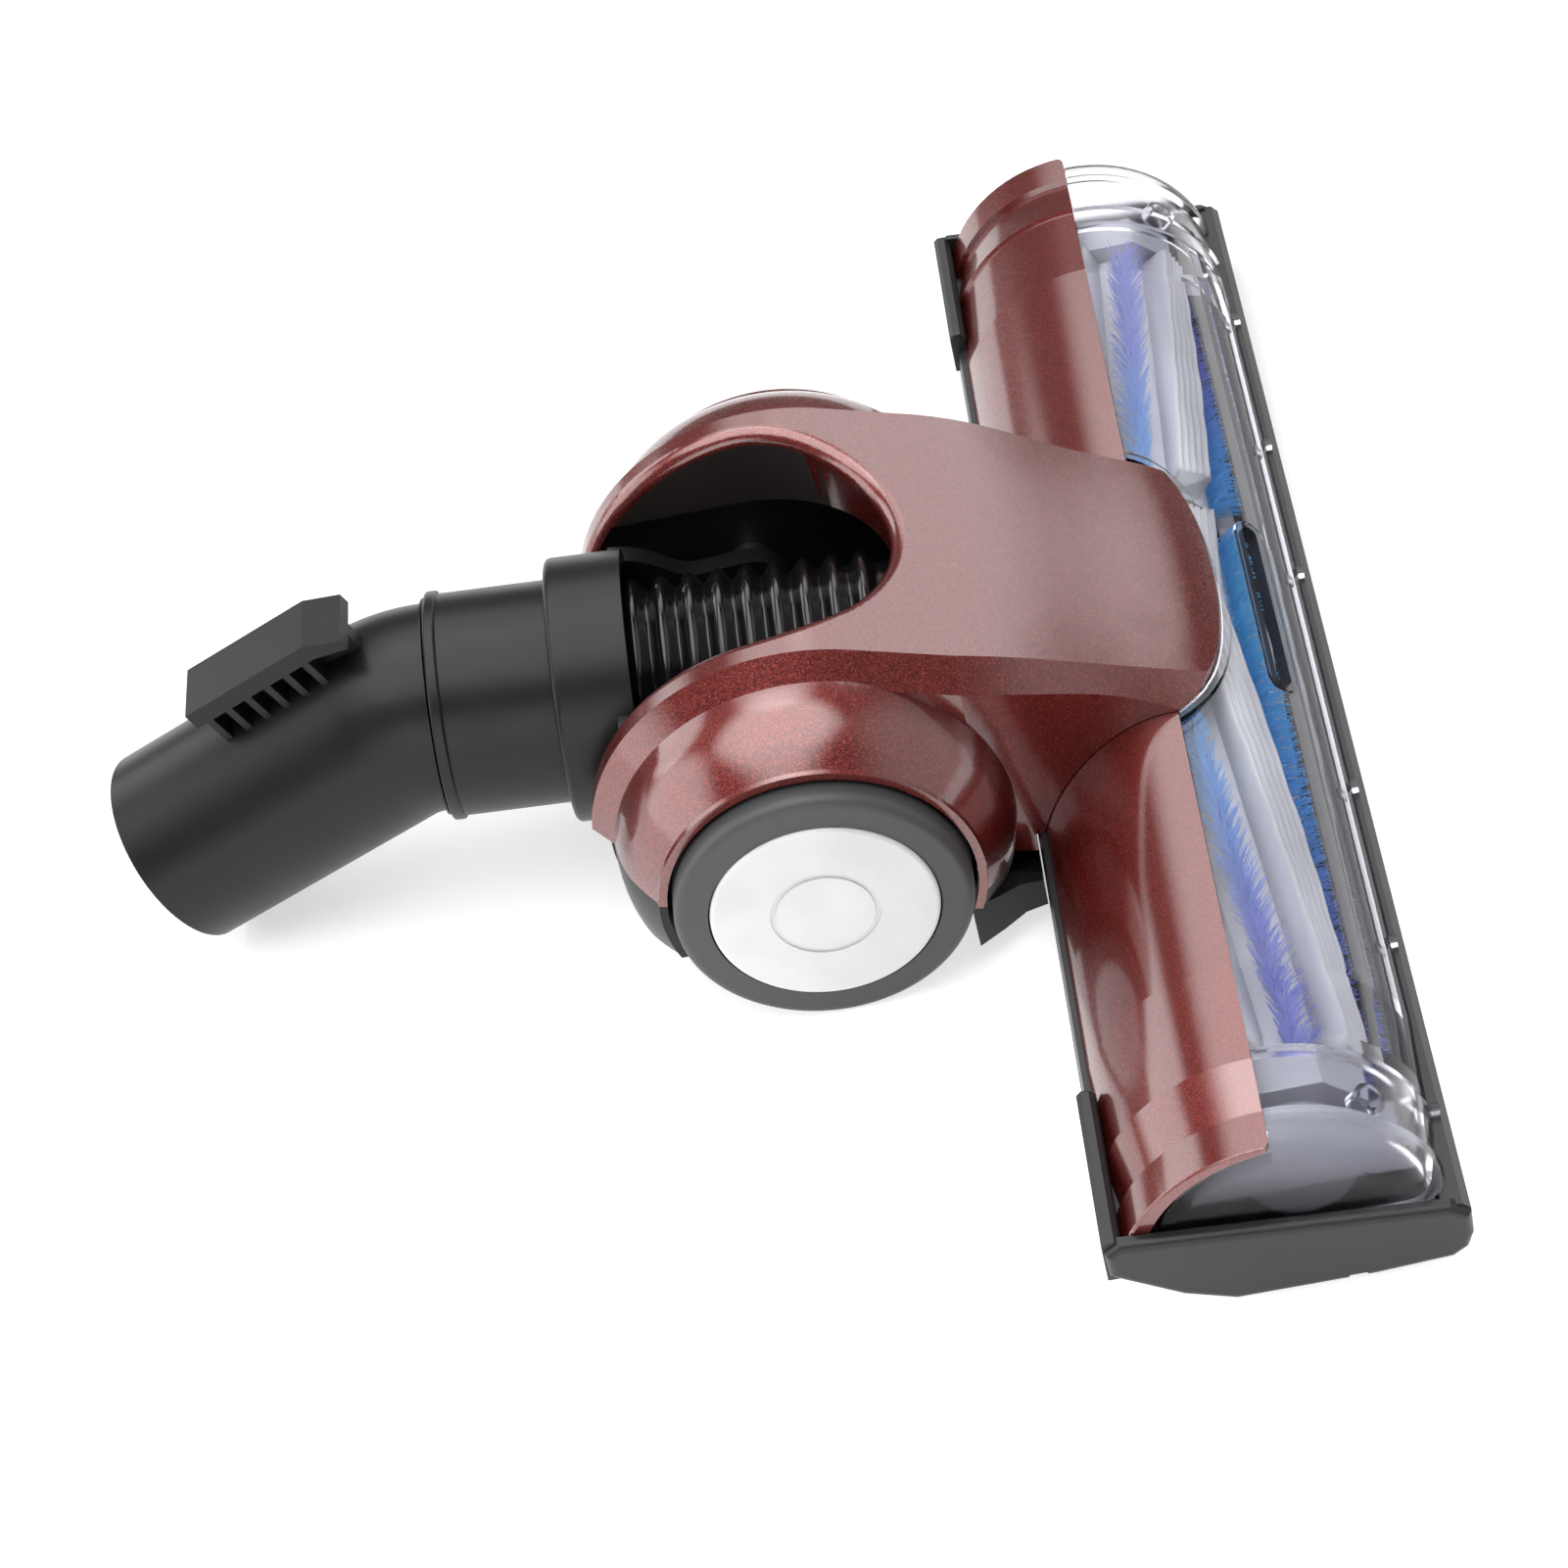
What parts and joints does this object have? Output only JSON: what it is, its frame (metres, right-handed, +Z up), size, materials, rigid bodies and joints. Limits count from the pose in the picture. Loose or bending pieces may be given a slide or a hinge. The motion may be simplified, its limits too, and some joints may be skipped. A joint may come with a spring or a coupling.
{
  "type": "vacuum floor brush head",
  "caption": "Wide vacuum floor brush head: clear front window over a chevron brush roll, metallic body with road wheels, and a tilting ribbed neck with a swivelling elbow.",
  "frame": {"origin": "on the floor under the middle of the outline", "axes": "+Z up, X along the brush roll, window to -Y, neck and elbow to +Y"},
  "size_m": [0.274, 0.2244, 0.0658],
  "materials": {
    "copper_paint": "red-copper metallic flake lacquer",
    "clear_plastic": "clear, faint violet tint",
    "black_plastic": "semi-matt moulded",
    "dark_hub": "matt moulded",
    "grey_plastic": "satin moulded",
    "blue_bristle": "nylon tufts",
    "white_strip": "soft, fine parallel lines",
    "tyre_rubber": "matt soft tyre",
    "belt_rubber": "matt",
    "white_plastic": "satin white",
    "hose_plastic": "glossy flexible",
    "steel": "plain",
    "lint_pile": "short pile"
  },
  "bodies": {
    "head": {"base": "black_plastic", "lint_strips": "lint_pile", "base_screws": "steel", "hood": "copper_paint", "window": "clear_plastic", "bearing_left": "grey_plastic", "bearing_right": "grey_plastic", "turbine_housing": "black_plastic", "drive_belt": "belt_rubber", "body_cover": "copper_paint", "lower_tray": "black_plastic", "pivot_pins": "steel", "wheel_axles": "steel"},
    "brush_roll": {"roll_core": "grey_plastic", "bristle_rows": "blue_bristle", "soft_strips": "white_strip"},
    "turbine": {"turbine_wheel": "grey_plastic"},
    "neck": {"neck_yoke": "black_plastic", "neck_tube": "black_plastic", "swivel_ring": "black_plastic", "hose": "hose_plastic"},
    "elbow": {"elbow": "black_plastic"},
    "wheel_left": {"hub_left": "dark_hub", "tyre_left": "tyre_rubber", "cap_left": "white_plastic"},
    "wheel_right": {"hub_right": "dark_hub", "tyre_right": "tyre_rubber", "cap_right": "white_plastic"}
  },
  "joints": [
    {"name": "neck_tilt", "type": "hinge", "parent": "head", "child": "neck", "pos_m": [0, -0.01051, 0.03427], "axis": [1, 0, 0], "range_deg": [-4, 80], "deforming": ["hose"]},
    {"name": "elbow_swivel", "type": "hinge", "parent": "neck", "child": "elbow", "pos_m": [0, -0.01051, 0.03427], "axis": [0, 0.9964, 0.0849], "continuous": true},
    {"name": "brush_spin", "type": "hinge", "parent": "head", "child": "brush_roll", "pos_m": [0, -0.08699, 0.016], "axis": [1, 0, 0], "continuous": true},
    {"name": "turbine_spin", "type": "hinge", "parent": "head", "child": "turbine", "pos_m": [0, -0.05399, 0.03], "axis": [1, 0, 0], "continuous": true},
    {"name": "wheel_left_spin", "type": "hinge", "parent": "head", "child": "wheel_left", "pos_m": [0, -0.01599, 0.0263], "axis": [1, 0, 0], "continuous": true},
    {"name": "wheel_right_spin", "type": "hinge", "parent": "head", "child": "wheel_right", "pos_m": [0, -0.01599, 0.0263], "axis": [1, 0, 0], "continuous": true}
  ],
  "couplings": [
    {"joint": "turbine_spin", "follows": "brush_spin", "ratio": 1.7917}
  ]
}
